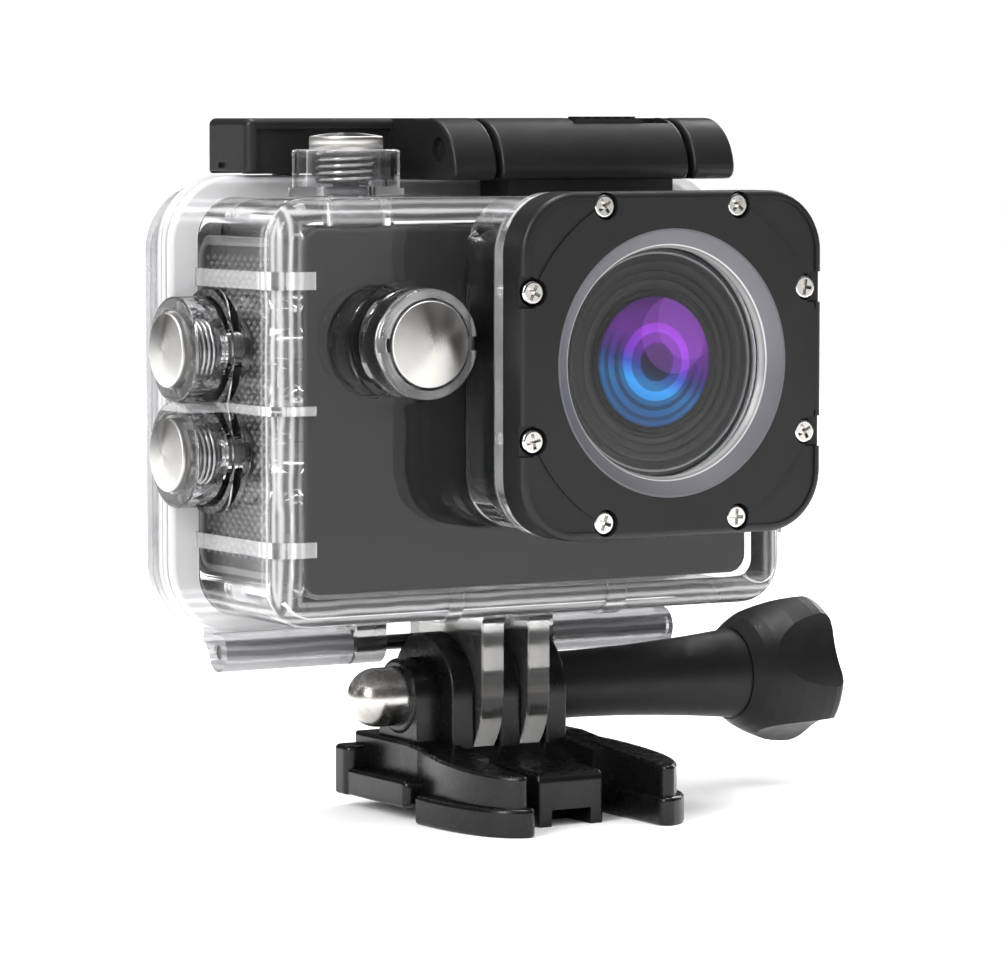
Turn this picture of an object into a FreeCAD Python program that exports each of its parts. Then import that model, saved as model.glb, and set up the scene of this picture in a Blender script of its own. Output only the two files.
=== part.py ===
import FreeCAD, Part
import math
import os

# Action camera in a clear waterproof case on a quick-release buckle.
# Millimetres. The origin is on the resting plane, straight below the tilt screw,
# on the case's middle plane. The lens looks along -Y and +Z is up.

V = FreeCAD.Vector
X = V(1, 0, 0)
Y = V(0, 1, 0)
Z = V(0, 0, 1)

# camera body
CAM_HX = 29.635
CAM_Z0 = 26.9
CAM_Z1 = 68.03
CAM_Y0 = -11.3
CAM_Y1 = 10.7
CAM_SPLIT = -3.3
CAM_WALL = 1.6
# lens and port axis
LX = 9.435
LZ = 52.78
# clear case
CASE_HX = 34.135
CASE_Z0 = 23.3
CASE_Z1 = 71.5
CASE_Y0 = -13.7
FLANGE_Y0 = 5.4
FLANGE_Y1 = 8.9
FLANGE_HX = 37.44
FLANGE_Z0 = 21.4
FLANGE_Z1 = 73.85
CAVITY_HX = 30.0
CAVITY_Z0 = 26.5
CAVITY_Z1 = 68.4
CAVITY_Y0 = -11.7
# lens port
PORT_Y0 = -23.0
PORT_STEP = -20.1
BEZEL = (-10.435, 29.765, 33.1, 72.2)
BEZEL_Y0 = -27.3
WINDOW_Y0 = -24.9
WINDOW_Y1 = -23.9
SCREW_SPOTS = [(8.9, 17.8), (18.2, 8.3)]
# push buttons: centre on the outer wall, outward direction
POWER = (V(-18.03, -13.7, 55.25), V(0, -1, 0))
SHUTTER = (V(-19.8, -3.8, 71.5), V(0, 0, 1))
UP = (V(-34.135, 1.2, 54.27), V(-1, 0, 0))
DOWN = (V(-34.135, 1.2, 42.44), V(-1, 0, 0))
FLOOR = 1.2
STEM_R = 1.5
# rear door
DOOR_Z1 = 73.0
DOOR_Y1 = 12.5
DOOR_BACK = 14.2
HINGE_Y = 7.7
HINGE_Z = 18.8
HINGE_R = 2.3
# latch
BAR_HX = 28.65
BAR_Y0 = 3.5
BAR_Y1 = 13.7
BAR_Z0 = 74.05
LATCH_Z0 = 73.3
LATCH_Z1 = 80.4
PIVOT_Y = -6.9
PIVOT_Z = 76.8
ARMS = [(-9.435, -3.835), (23.05, 28.65)]
BLOCK = (-3.035, 22.265)
# tilt joint and buckle
AXIS_Z = 13.4
PRONG_R = 8.5
FINGER_R = 7.2
PRONGS = [(-4.6, -1.6), (1.6, 4.6)]
FINGERS = [(-7.7, -4.8), (-1.4, 1.4), (4.8, 7.7)]
BOLT_R = 2.45
BORE_R = 2.53


def box(x0, x1, y0, y1, z0, z1):
    return Part.makeBox(x1 - x0, y1 - y0, z1 - z0, V(x0, y0, z0))


def cyl(r, base, direction, length):
    return Part.makeCylinder(r, length, base, direction)


def tube(r_out, r_in, base, direction, length):
    return cyl(r_out, base, direction, length).cut(cyl(r_in, base, direction, length))


def edges_along(shape, axis):
    found = []
    for edge in shape.Edges:
        if len(edge.Vertexes) != 2:
            continue
        run = edge.Vertexes[1].Point.sub(edge.Vertexes[0].Point)
        if abs(abs(run.dot(axis)) - run.Length) < 1e-6 and run.Length > 1e-6:
            found.append(edge)
    return found


def edges_at(shape, axis, value):
    found = []
    for edge in shape.Edges:
        if all(abs(p.dot(axis) - value) < 1e-6 for p in edge.discretize(5)):
            found.append(edge)
    return found


def rbox(x0, x1, z0, z1, y0, y1, r):
    """Box with its four edges along Y rounded."""
    solid = box(x0, x1, y0, y1, z0, z1)
    return solid.makeFillet(r, edges_along(solid, Y))


def round_at(solid, axis, value, r):
    return solid.makeFillet(r, edges_at(solid, axis, value))


def turned(points, base, axis):
    """Revolve a closed list of (radius, height) about an axis through base."""
    flat = [V(r, 0, h) for r, h in points]
    face = Part.Face(Part.makePolygon(flat + [flat[0]]))
    solid = face.revolve(V(0, 0, 0), Z, 360)
    return place(solid, base, axis)


def place(shape, base, direction):
    moved = shape.copy()
    turn = FreeCAD.Placement(base, FreeCAD.Rotation(Z, direction))
    moved.Placement = turn.multiply(shape.Placement)
    return moved


def line(a, b):
    return Part.makeLine(a, b)


def arc(a, mid, b):
    return Part.Arc(a, mid, b).toShape()


def prism(edges, run):
    """Extrude the closed outline that the edges make."""
    return Part.Face(Part.Wire(edges)).extrude(run)


def profile_x(points, x0, x1):
    """Extrude a closed straight-sided (y, z) outline along X."""
    flat = [V(x0, y, z) for y, z in points]
    face = Part.Face(Part.makePolygon(flat + [flat[0]]))
    return face.extrude(V(x1 - x0, 0, 0))


def eye_plate(r, x0, x1, z_end, chamfer_r):
    """Plate with a round end about the tilt axis and straight sides that run to z_end."""
    way = 1 if z_end > AXIS_Z else -1
    a, b = V(x0, -r, AXIS_Z), V(x0, r, AXIS_Z)
    c, d = V(x0, r, z_end), V(x0, -r, z_end)
    edges = [arc(a, V(x0, 0, AXIS_Z - way * r), b), line(b, c), line(c, d), line(d, a)]
    plate = prism(edges, V(x1 - x0, 0, 0))
    plate = round_at(plate, X, x0, chamfer_r)
    return round_at(plate, X, x1, chamfer_r)


def fuse_all(shapes):
    solid = shapes[0]
    for other in shapes[1:]:
        solid = solid.fuse(other)
    return solid.removeSplitter()


def cut_all(solid, tools):
    for tool in tools:
        solid = solid.cut(tool)
    return solid


def mirror_x(shape):
    return shape.mirror(V(0, 0, 0), X)


def save(shape, node):
    shape.exportStep("parts/" + node + ".step")


# ---- push buttons, drawn along +Z from the case's outer wall at z = 0 ----

def turret(r_foot, r_rim, height, bore, notched):
    foot = cyl(r_foot, V(0, 0, -0.5), Z, 1.5)
    wall = cyl(r_rim, V(0, 0, -0.5), Z, height + 0.5)
    wall = round_at(wall, Z, height, 0.35)
    solid = foot.fuse(wall).cut(cyl(bore, V(0, 0, FLOOR), Z, height))
    if notched:
        solid = solid.cut(box(-r_rim, r_rim, -0.8, 0.8, height - 0.9, height + 1))
    return solid


def turret_hole(wall, pocket_r, pocket_top):
    """Stem hole, seal groove and the pocket on the wall's inner side for clip and key."""
    stem_hole = cyl(STEM_R + 0.1, V(0, 0, -wall - 1), Z, wall + 3)
    groove = cyl(2.65, V(0, 0, 0.1), Z, 2.0)
    pocket = cyl(pocket_r, V(0, 0, -wall - 1), Z, wall + 1 + pocket_top)
    return fuse_all([stem_hole, groove, pocket])


def cap(radius, z0, z1):
    solid = cyl(radius, V(0, 0, z0), Z, z1 - z0)
    ball = Part.makeSphere(4 * radius, V(0, 0, z1 - 4 * radius))
    solid = solid.common(ball)
    return solid.cut(cyl(1.0, V(0, 0, z0 - 0.1), Z, 1.0))


def stem(z0, z_cap, clip_z):
    solid = cyl(STEM_R, V(0, 0, z0), Z, z_cap - z0)
    solid = solid.cut(tube(2.0, 1.2, V(0, 0, clip_z), Z, 0.5))
    return solid.fuse(cyl(0.98, V(0, 0, z_cap), Z, 0.85))


def clip(clip_z):
    ring = tube(2.4, 1.22, V(0, 0, clip_z + 0.03), Z, 0.44)
    return ring.cut(box(-0.9, 0.9, 0, 3, clip_z - 1, clip_z + 1))


def seal():
    return Part.makeTorus(2.1, 0.48, V(0, 0, 0.65), Z)


def coil(z0, z1, radius, wire, turns):
    height = z1 - z0 - 2 * wire - 0.02
    helix = Part.makeHelix(height / turns, height, radius)
    corners = []
    for k in range(9):
        turn = math.radians(22.5 + 45 * (k % 8))
        corners.append(V(radius + wire * math.cos(turn), 0, wire * math.sin(turn)))
    ring = Part.makePolygon(corners)
    solid = Part.Wire(helix).makePipeShell([ring], True, True)
    solid.translate(V(0, 0, z0 + wire + 0.01))
    return solid


def save_button(name, spot, stem_end, clip_z, cap_r, cap_z0, cap_z1):
    base, out = spot
    save(place(cap(cap_r, cap_z0, cap_z1), base, out), name + "_cap")
    save(place(stem(-stem_end, cap_z0, clip_z), base, out), name + "_stem")
    save(place(clip(clip_z), base, out), name + "_clip")
    save(place(coil(FLOOR, cap_z0, cap_r - 1.0, 0.35, 3.5), base, out), name + "_spring")


# ---- clear case ----

def case_shell():
    outer = rbox(-CASE_HX, CASE_HX, CASE_Z0, CASE_Z1, CASE_Y0, FLANGE_Y0 + 1, 5.0)
    outer = round_at(outer, Y, CASE_Y0, 2.6)
    flange = rbox(-FLANGE_HX, FLANGE_HX, FLANGE_Z0, FLANGE_Z1, FLANGE_Y0, FLANGE_Y1, 8.0)
    flange = round_at(flange, Y, FLANGE_Y0, 0.5)
    x0, x1, z0, z1 = BEZEL
    step = rbox(x0 + 0.05, x1 - 0.05, z0 + 0.05, z1 - 0.05, PORT_Y0, PORT_STEP, 7.0)
    step = round_at(step, Y, PORT_STEP, 1.0)
    neck = rbox(x0 + 0.65, x1 - 0.65, z0 + 0.6, z1 - 0.8, PORT_STEP - 1, CASE_Y0 + 2, 6.4)
    flange = flange.cut(rim_groove(6.5, 6.9, 0.3)).cut(rim_groove(7.8, 8.0, 0.2))
    return fuse_all([outer, flange, neck, step])


def rim_groove(y0, y1, depth):
    """Shallow groove round the flange's edge."""
    x, z0, z1 = FLANGE_HX, FLANGE_Z0, FLANGE_Z1
    outer = rbox(-x - 1, x + 1, z0 - 1, z1 + 1, y0, y1, 9.0)
    return outer.cut(rbox(-x + depth, x - depth, z0 + depth, z1 - depth, y0, y1, 8.0 - depth))


def case_bands():
    """Raised bands round the left and right walls and the bottom front edge."""
    bands = []
    for z0, z1 in ((61.35, 63.4), (47.3, 48.4), (31.4, 33.2)):
        band = rbox(-34.5, 34.5, 22.9, 71.9, -14.05, FLANGE_Y0, 5.3)
        band = round_at(band, Y, -14.05, 2.9)
        band = band.common(box(-40, -29.3, -20, 9, z0, z1))
        bands.append(band)
        bands.append(mirror_x(band).cut(box(29.0, 34.135, -20, 0, 30, 72)))
    for x0, x1 in ((-11.9, -10.2), (9.1, 11.6)):
        band = rbox(-34.5, 34.5, 22.9, 71.9, -14.05, FLANGE_Y0, 5.3)
        band = round_at(band, Y, -14.05, 2.9)
        bands.append(band.common(box(x0, x1, -20, 9, 20, 26.9)))
    return bands


def prong(x0, x1):
    plate = eye_plate(PRONG_R, x0, x1, CASE_Z0 + 1, 0.3)
    foot = box(x0, x1, -PRONG_R - 1.2, PRONG_R, CASE_Z0 - 1.2, CASE_Z0 + 1)
    hollow = cyl(1.2, V(x0 - 1, -PRONG_R - 1.2, CASE_Z0 - 1.2), X, x1 - x0 + 2)
    return plate.fuse(foot.cut(hollow))


def shell_knuckle(x0, x1):
    barrel = cyl(HINGE_R, V(x0, HINGE_Y, HINGE_Z), X, x1 - x0)
    web = box(x0, x1, HINGE_Y - HINGE_R, 8.3, HINGE_Z, FLANGE_Z0 + 0.6)
    return barrel.fuse(web)


def port_holes():
    tools = [cyl(14.5, V(LX, PORT_Y0 - 1, LZ), Y, 6)]
    for dx, dz in screw_spots():
        tools.append(cyl(0.75, V(LX + dx, PORT_Y0 - 1, LZ + dz), Y, 3.6))
    return tools


def screw_spots():
    spots = []
    for dx, dz in SCREW_SPOTS:
        for sx in (-1, 1):
            for sz in (-1, 1):
                spots.append((sx * dx, sz * dz))
    return spots


def front_shell():
    parts = [case_shell()] + case_bands()
    parts += [prong(x0, x1) for x0, x1 in PRONGS]
    parts += [shell_knuckle(-13.4, -9.4), shell_knuckle(9.4, 13.4)]
    parts.append(place(turret(7.0, 6.25, 6.2, 5.2, True), *POWER))
    parts.append(place(turret(6.6, 6.15, 5.4, 4.5, False), *SHUTTER))
    parts.append(place(turret(6.9, 6.1, 5.3, 4.5, False), *UP))
    parts.append(place(turret(6.9, 6.1, 5.3, 4.5, False), *DOWN))
    solid = fuse_all(parts)
    tools = [rbox(-CAVITY_HX, CAVITY_HX, CAVITY_Z0, CAVITY_Z1, CAVITY_Y0, FLANGE_Y1 + 1, 2.0)]
    x0, x1, z0, z1 = BEZEL
    tools.append(rbox(x0 + 2.8, x1 - 2.8, z0 + 2.8, z1 - 2.8, -21.0, CAVITY_Y0 + 1, 4.5))
    tools += port_holes()
    tools.append(place(cyl(5.2, V(0, 0, FLOOR), Z, 9), *POWER))
    for spot in (SHUTTER, UP, DOWN):
        tools.append(place(cyl(4.5, V(0, 0, FLOOR), Z, 9), *spot))
    tools.append(place(turret_hole(2.0, 2.7, -1.2), *POWER))
    tools.append(place(turret_hole(3.1, 4.4, -1.3), *SHUTTER))
    tools.append(place(turret_hole(4.135, 3.6, -2.4), *UP))
    tools.append(place(turret_hole(4.135, 3.6, -2.4), *DOWN))
    tools.append(cyl(BORE_R, V(-10, 0, AXIS_Z), X, 20))
    tools.append(cyl(0.92, V(-14, HINGE_Y, HINGE_Z), X, 28))
    return cut_all(solid, tools)


def bezel():
    x0, x1, z0, z1 = BEZEL
    solid = rbox(x0, x1, z0, z1, BEZEL_Y0, PORT_Y0, 7.0)
    solid = round_at(solid, Y, BEZEL_Y0, 0.7)
    corners = rbox(x0 + 0.9, x1 - 0.9, z0 + 0.9, z1 - 0.9, BEZEL_Y0 - 1, BEZEL_Y0 + 0.25, 6.1)
    corners = corners.cut(cyl(20.2, V(LX, BEZEL_Y0 - 2, LZ), Y, 4))
    tools = [corners, cyl(15.3, V(LX, BEZEL_Y0 - 1, LZ), Y, 9)]
    tools.append(cyl(15.95, V(LX, WINDOW_Y0, LZ), Y, 9))
    for dx, dz in screw_spots():
        spot = V(LX + dx, BEZEL_Y0, LZ + dz)
        tools.append(cyl(1.55, spot - Y, Y, 2.7))
        tools.append(cyl(0.85, spot, Y, 9))
        if abs(dx) > abs(dz):
            reach = sorted((dx, dx + math.copysign(3.0, dx)))
            tools.append(box(LX + reach[0], LX + reach[1], BEZEL_Y0 - 1, BEZEL_Y0 + 0.9,
                             spot.z - 1.75, spot.z + 1.75))
    return cut_all(solid, tools)


def bezel_screws():
    screws = []
    for dx, dz in screw_spots():
        spot = V(LX + dx, BEZEL_Y0 + 0.4, LZ + dz)
        head = cyl(1.38, spot, Y, 0.95)
        head = round_at(head, Y, spot.y, 0.3)
        screw = head.fuse(cyl(0.73, spot, Y, 6.0))
        turn = 20 + 37 * len(screws)
        slot = box(-0.9, 0.9, -0.1, 0.7, -0.2, 0.2)
        cross = slot.fuse(box(-0.2, 0.2, -0.1, 0.7, -0.9, 0.9))
        cross.rotate(V(0, 0, 0), Y, turn)
        cross.translate(spot)
        screws.append(screw.cut(cross))
    return Part.makeCompound(screws)


def save_port():
    save(bezel(), "lens_bezel")
    save(bezel_screws(), "bezel_screws")
    ring = [(13.3, 1.25), (15.0, 0.0), (15.25, 0.0), (15.25, 2.4), (13.0, 2.4), (13.0, 2.1)]
    save(turned(ring, V(LX, BEZEL_Y0, LZ), Y), "port_ring")
    window = cyl(15.9, V(LX, WINDOW_Y0, LZ), Y, WINDOW_Y1 - WINDOW_Y0)
    save(window, "port_window")
    seat = tube(15.9, 13.3, V(LX, WINDOW_Y1, LZ), Y, PORT_Y0 - WINDOW_Y1)
    save(seat, "port_gasket")


# ---- rear door ----

def door_knuckle(x0, x1):
    barrel = cyl(HINGE_R, V(x0, HINGE_Y, HINGE_Z), X, x1 - x0)
    web = box(x0, x1, FLANGE_Y1 + 0.1, 11.4, HINGE_Z, FLANGE_Z0 + 0.6)
    heel = cyl(1.0, V(x0, 11.4, HINGE_Z), X, x1 - x0)
    return barrel.fuse(web.cut(heel))


def gasket_ring(grow):
    outer = rbox(-36.0 - grow, 36.0 + grow, 22.8 - grow, 71.6 + grow, 8.9, 10.3 + grow, 6.6)
    inner = rbox(-34.6 + grow, 34.6 - grow, 24.2 + grow, 70.2 - grow, 8, 11, 5.2)
    return outer.cut(inner)


def back_door():
    rim = rbox(-FLANGE_HX, FLANGE_HX, FLANGE_Z0, DOOR_Z1, FLANGE_Y1, DOOR_Y1, 8.0)
    rim = round_at(rim, Y, DOOR_Y1, 0.8).cut(rim_groove(10.5, 10.8, 0.3))
    bulge = rbox(-32.6, 32.6, 25.0, 70.2, 12.0, DOOR_BACK, 5.5)
    bulge = round_at(bulge, Y, DOOR_BACK, 1.4)
    knuckles = [door_knuckle(-30.5, -13.8), door_knuckle(13.8, 30.5)]
    solid = fuse_all([rim, bulge] + knuckles)
    tools = [rbox(-30.2, 30.2, 26.3, 68.6, FLANGE_Y1 - 1, 12.2, 2.4)]
    tools.append(gasket_ring(0.02))
    tools.append(cyl(1.0, V(-31, HINGE_Y, HINGE_Z), X, 62))
    return cut_all(solid, tools)


# ---- latch ----

def latch_nose(y_rear, x0, x1):
    """Latch body from its round nose to y_rear, extruded along X."""
    low, high = V(x0, y_rear, LATCH_Z0), V(x0, y_rear, LATCH_Z1)
    crown, tip = V(x0, -3.8, LATCH_Z1), V(x0, -10.7, 75.0)
    chin, heel = V(x0, -10.7, 74.5), V(x0, -9.5, LATCH_Z0)
    edges = [line(low, high), line(high, crown), arc(crown, V(x0, -8.85, 78.7), tip)]
    edges += [line(tip, chin), arc(chin, V(x0, -10.35, 73.65), heel), line(heel, low)]
    nose = prism(edges, V(x1 - x0, 0, 0))
    return nose


def latch_lever():
    bar = box(-BAR_HX, BAR_HX, BAR_Y0, BAR_Y1, BAR_Z0, LATCH_Z1)
    bar = bar.makeFillet(1.1, edges_along(bar, Z))
    bar = round_at(round_at(bar, Z, LATCH_Z1, 0.8), Z, BAR_Z0, 0.4)
    hook = box(-20, 20, 12.8, BAR_Y1, LATCH_Z0, BAR_Z0 + 1)
    bridge = box(ARMS[0][0], ARMS[1][1], -1.0, BAR_Y0 + 1, 76.6, LATCH_Z1)
    arms = [latch_nose(BAR_Y0 + 1, x0, x1) for x0, x1 in ARMS]
    arms = [round_at(round_at(arm, X, x0, 0.4), X, x1, 0.4) for arm, (x0, x1) in zip(arms, ARMS)]
    solid = fuse_all([bar, hook, bridge] + arms)
    tools = [box(-BAR_HX + 1.4, BAR_HX - 1.4, BAR_Y0 + 1.6, 12.8, LATCH_Z0 - 1, 78.6)]
    tools.append(box(-40, 40, BAR_Y0 + 1.6, 12.8, LATCH_Z0 - 1, 74.3))
    tools.append(box(-27.4, ARMS[0][0] - 0.4, BAR_Y0 - 1, BAR_Y0 + 0.5, LATCH_Z0 - 1, 79.2))
    tools.append(cyl(0.85, V(-12, PIVOT_Y, PIVOT_Z), X, 45))
    tools.append(cyl(1.45, V(ARMS[0][0] - 1, PIVOT_Y, PIVOT_Z), X, 1.7))
    tools.append(cyl(1.45, V(ARMS[1][1] - 0.7, PIVOT_Y, PIVOT_Z), X, 1.7))
    tools.append(box(-BAR_HX - 1, -BAR_HX + 0.4, 8.8, 10.6, 74.7, 75.3))
    return cut_all(solid, tools)


def latch_block():
    x0, x1 = BLOCK
    nose = latch_nose(-2.9, x0, x1)
    nose = round_at(round_at(nose, X, x0, 0.4), X, x1, 0.4)
    foot = box(x0 + 1.5, x1 - 1.5, -9.4, -2.9, CASE_Z1, LATCH_Z0 + 0.5)
    tools = [cyl(0.78, V(x0 - 1, PIVOT_Y, PIVOT_Z), X, x1 - x0 + 2)]
    tools.append(box(8.6, 21.6, -7.3, -3.7, 79.2, LATCH_Z1 + 1))
    return cut_all(nose.fuse(foot).removeSplitter(), tools)


def latch_slider():
    plate = box(8.9, 18.1, -7.0, -4.0, 79.4, LATCH_Z1 - 0.1)
    ridges = []
    for k in range(6):
        start = 9.6 + 1.4 * k
        ridges.append(box(start, start + 0.6, -6.8, -4.2, LATCH_Z1 - 0.5, LATCH_Z1 + 0.2))
    return fuse_all([plate] + ridges)


# ---- camera ----

def cam_box(y0, y1, inset):
    x = CAM_HX - inset
    return rbox(-x, x, CAM_Z0 + inset, CAM_Z1 - inset, y0, y1, 2.2 - 0.6 * min(inset, 1.5))


def grip_outline(side, grow):
    x0, x1 = (-CAM_HX - 1, -CAM_HX + 0.6) if side < 0 else (CAM_HX - 0.6, CAM_HX + 1)
    solid = box(x0, x1, -9.4 - grow, 9.8 + grow, 28.4 - grow, 66.8 + grow)
    return solid.makeFillet(2.5, edges_along(solid, X))


def cover_cuts():
    """Openings that the two camera covers share."""
    tools = [cyl(4.3, V(SHUTTER[0].x, SHUTTER[0].y, 64), Z, 9)]
    for spot in (UP, DOWN):
        tools.append(cyl(3.5, V(-33, spot[0].y, spot[0].z), X, 8))
    tools += [grip_outline(-1, 0.05), grip_outline(1, 0.05)]
    tools.append(box(-12.0, 12.0, -2.0, 8.0, CAM_Z0 - 1, CAM_Z0 + 2))
    return tools


def front_cover():
    solid = round_at(cam_box(CAM_Y0, CAM_SPLIT, 0), Y, CAM_Y0, 0.5)
    tools = [cam_box(CAM_Y0 + CAM_WALL, CAM_SPLIT + 1, CAM_WALL)]
    tools.append(cyl(13.0, V(LX, CAM_Y0 - 1, LZ), Y, 5))
    tools.append(cyl(6.4, V(-20.4, CAM_Y0 - 1, 55.2), Y, 5))
    return cut_all(solid, tools + cover_cuts())


def rear_cover():
    solid = round_at(cam_box(CAM_SPLIT, CAM_Y1, 0), Y, CAM_Y1, 0.8)
    tools = [cam_box(CAM_SPLIT - 1, CAM_Y1 - CAM_WALL, CAM_WALL)]
    tools.append(rbox(-24.1, 24.1, 30.4, 66.1, CAM_Y1 - 0.8, CAM_Y1 + 1, 1.6))
    tools.append(rbox(-21.5, 21.5, 32.5, 62.5, CAM_Y1 - 3, CAM_Y1 + 1, 0.6))
    return cut_all(solid, tools + cover_cuts())


def side_grip(side):
    solid = grip_outline(side, 0)
    solid = solid.common(box(-CAM_HX, CAM_HX, -20, 20, 0, 90))
    if side < 0:
        for spot in (UP, DOWN):
            solid = solid.cut(cyl(3.5, V(-33, spot[0].y, spot[0].z), X, 8))
    return solid


def lens_shroud():
    solid = rbox(-7.0, 26.2, 36.6, 67.9, -20.4, CAM_Y0, 4.2)
    solid = round_at(solid, Y, -20.4, 1.0)
    rim = rbox(-8.8, 28.0, 34.8, 68.0, CAM_Y0 - 0.3, CAM_Y0, 5.4)
    solid = solid.fuse(rim).removeSplitter()
    return solid.cut(cyl(12.95, V(LX, -21, LZ), Y, 20))


def save_lens():
    spot = V(LX, -23.6, LZ)
    tube_line = [(12.9, 0), (12.9, 16.1), (5.2, 16.1), (5.2, 3.1), (12.3, 3.1), (12.3, 0)]
    save(turned(tube_line, spot, Y), "lens_barrel")
    trim = [(12.28, 0.3), (12.28, 3.08), (7.5, 3.08), (7.5, 0.95), (8.0, 0.7), (8.2, 1.1), (8.6, 1.1)]
    trim += [(8.75, 0.75), (9.35, 0.85), (9.5, 0.5), (10.3, 0.6), (10.5, 0.25), (11.3, 0.35), (11.6, 0.1)]
    save(turned(trim, spot, Y), "lens_trim_ring")
    front = cyl(7.48, V(LX, -23.0, LZ), Y, 2.45)
    dome = Part.makeSphere(46.9, V(LX, -23.6 + 46.9, LZ))
    dome = dome.common(cyl(7.48, V(LX, -24, LZ), Y, 2.0))
    save(front.fuse(dome).removeSplitter(), "lens_front_glass")
    save(cyl(5.18, V(LX, -17.5, LZ), Y, 3.0), "lens_inner_glass")
    save(box(LX - 8, LX + 8, -7.4, -6.2, LZ - 8, LZ + 8), "sensor_board")
    save(box(LX - 3.5, LX + 3.5, -8.3, -7.42, LZ - 3.5, LZ + 3.5), "image_sensor")


def key(radius, length):
    """Camera key: a round pad on a thinner post, top at z = 0."""
    pad = cyl(radius, V(0, 0, -1.0), Z, 1.0)
    pad = round_at(pad, Z, 0.0, 0.25)
    return pad.fuse(cyl(1.2, V(0, 0, -length), Z, length))


def save_camera_keys():
    save(place(key(6.1, 4.2), V(-20.4, -11.4, 55.2), V(0, -1, 0)), "power_key")
    save(place(key(4.0, 4.2), V(-19.8, -3.8, 68.9), Z), "shutter_key")
    for name, spot in (("up_key", UP), ("down_key", DOWN)):
        save(place(key(3.2, 4.2), V(-30.2, spot[0].y, spot[0].z), V(-1, 0, 0)), name)


def save_camera_inside():
    board = box(-24.5, 27.5, -1.9, -0.7, 29.6, 63.8)
    save(board, "main_board")
    save(box(-17.0, 17.0, 1.2, 7.0, 29.0, 61.0), "battery")
    save(box(-22.5, 22.5, 7.3, 9.0, 31.5, 63.5), "display_module")
    glass = rbox(-24.0, 24.0, 30.5, 66.0, CAM_Y1 - 0.78, CAM_Y1, 1.6)
    save(glass, "display_glass")
    lid = box(-11.9, 11.9, -1.9, 7.9, CAM_Z0, CAM_Z0 + 1.5)
    save(lid, "battery_lid")
    save(cyl(4.2, V(23.0, 0.6, 34.2), Y, 3.0), "speaker")


# ---- buckle ----

def finger(x0, x1):
    return eye_plate(FINGER_R, x0, x1, 4.0, 0.35)


def arm_prism(x_in, y_rear, nose, side, x_side, z0, z1):
    """Squeeze-arm blade: straight inner edge, small nose and a long curved outer side."""
    start, front = V(x_in, y_rear, z0), V(x_in, nose[0][1], z0)
    tip = V(nose[1][0], nose[1][1], z0)
    outer = Part.BSplineCurve()
    outer.interpolate([V(x, y, z0) for x, y in [nose[1]] + side])
    end = V(side[-1][0], side[-1][1], z0)
    back = V(x_side, y_rear, z0)
    mid = V(nose[0][0], (nose[0][1] + nose[1][1]) / 2 - 0.3, z0)
    edges = [line(start, front), arc(front, mid, tip), outer.toShape(), line(end, back), line(back, start)]
    return prism(edges, V(0, 0, z1 - z0))


def buckle_arm():
    """Right squeeze arm: a wide foot with a narrower bar on top."""
    side = [(12.6, -24.9), (14.1, -21.0), (14.75, -16.5), (14.9, -11.5)]
    foot = arm_prism(8.3, -11.0, [(8.75, -26.2), (9.9, -27.1)], side, 14.9, 0, 3.3)
    foot = round_at(round_at(foot, Z, 3.3, 0.5), Z, 0.0, 0.4)
    side = [(12.0, -24.2), (13.1, -20.8), (13.4, -16.5), (12.6, -9.0), (12.1, -6.5)]
    bar = arm_prism(8.9, -6.0, [(9.3, -25.5), (10.3, -26.3)], side, 12.1, 0.5, 9.0)
    top = [(-30, 6.6), (-30, 12), (0, 12), (0, 8.4), (-10, 7.9), (-22, 7.1)]
    bar = bar.cut(profile_x(top, 0, 20))
    crest = [e for e in bar.Edges if e.BoundBox.ZMin > 6.0 and e.BoundBox.YMin < -6.5]
    bar = bar.makeFillet(0.45, crest)
    return bar.fuse(foot)


def buckle_side():
    rail = box(10.0, 14.8, -8.6, 8.5, 1.4, 4.6)
    rail = rail.makeFillet(0.5, edges_along(rail, Y))
    rail = rail.makeFillet(1.0, [e for e in edges_along(rail, Z) if e.BoundBox.XMin > 12])
    wall = profile_x([(-14.0, 1.4), (-14.0, 7.4), (-4.0, 8.5), (8.5, 8.5), (8.5, 1.4)], 7.0, 12.1)
    wall = round_at(wall, X, 12.1, 0.5)
    wing = box(9.0, 15.1, 4.7, 8.5, 1.4, 7.2)
    wing = wing.makeFillet(1.2, edges_along(wing, Z))
    wing = round_at(round_at(wing, Z, 7.2, 0.5), Z, 1.4, 0.4)
    round_notch = cyl(1.0, V(6, -11.2, 3.2), X, 12)
    return rail.fuse(wall).cut(round_notch).fuse(wing)


def buckle_tongue():
    low, high = V(-4.35, -20.7, 0), V(-4.35, -20.7, 5.0)
    crest, back = V(-4.35, -19.6, 6.1), V(-4.35, -11.0, 6.5)
    edges = [line(low, high), arc(high, V(-4.35, -20.38, 5.78), crest), line(crest, back)]
    edges += [line(back, V(-4.35, -11.0, 0)), line(V(-4.35, -11.0, 0), low)]
    tongue = prism(edges, V(8.7, 0, 0))
    tongue = round_at(round_at(tongue, X, -4.35, 0.4), X, 4.35, 0.4)
    return tongue.cut(box(-2.6, 2.6, -22, -15.5, -1, 1.9))


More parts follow.
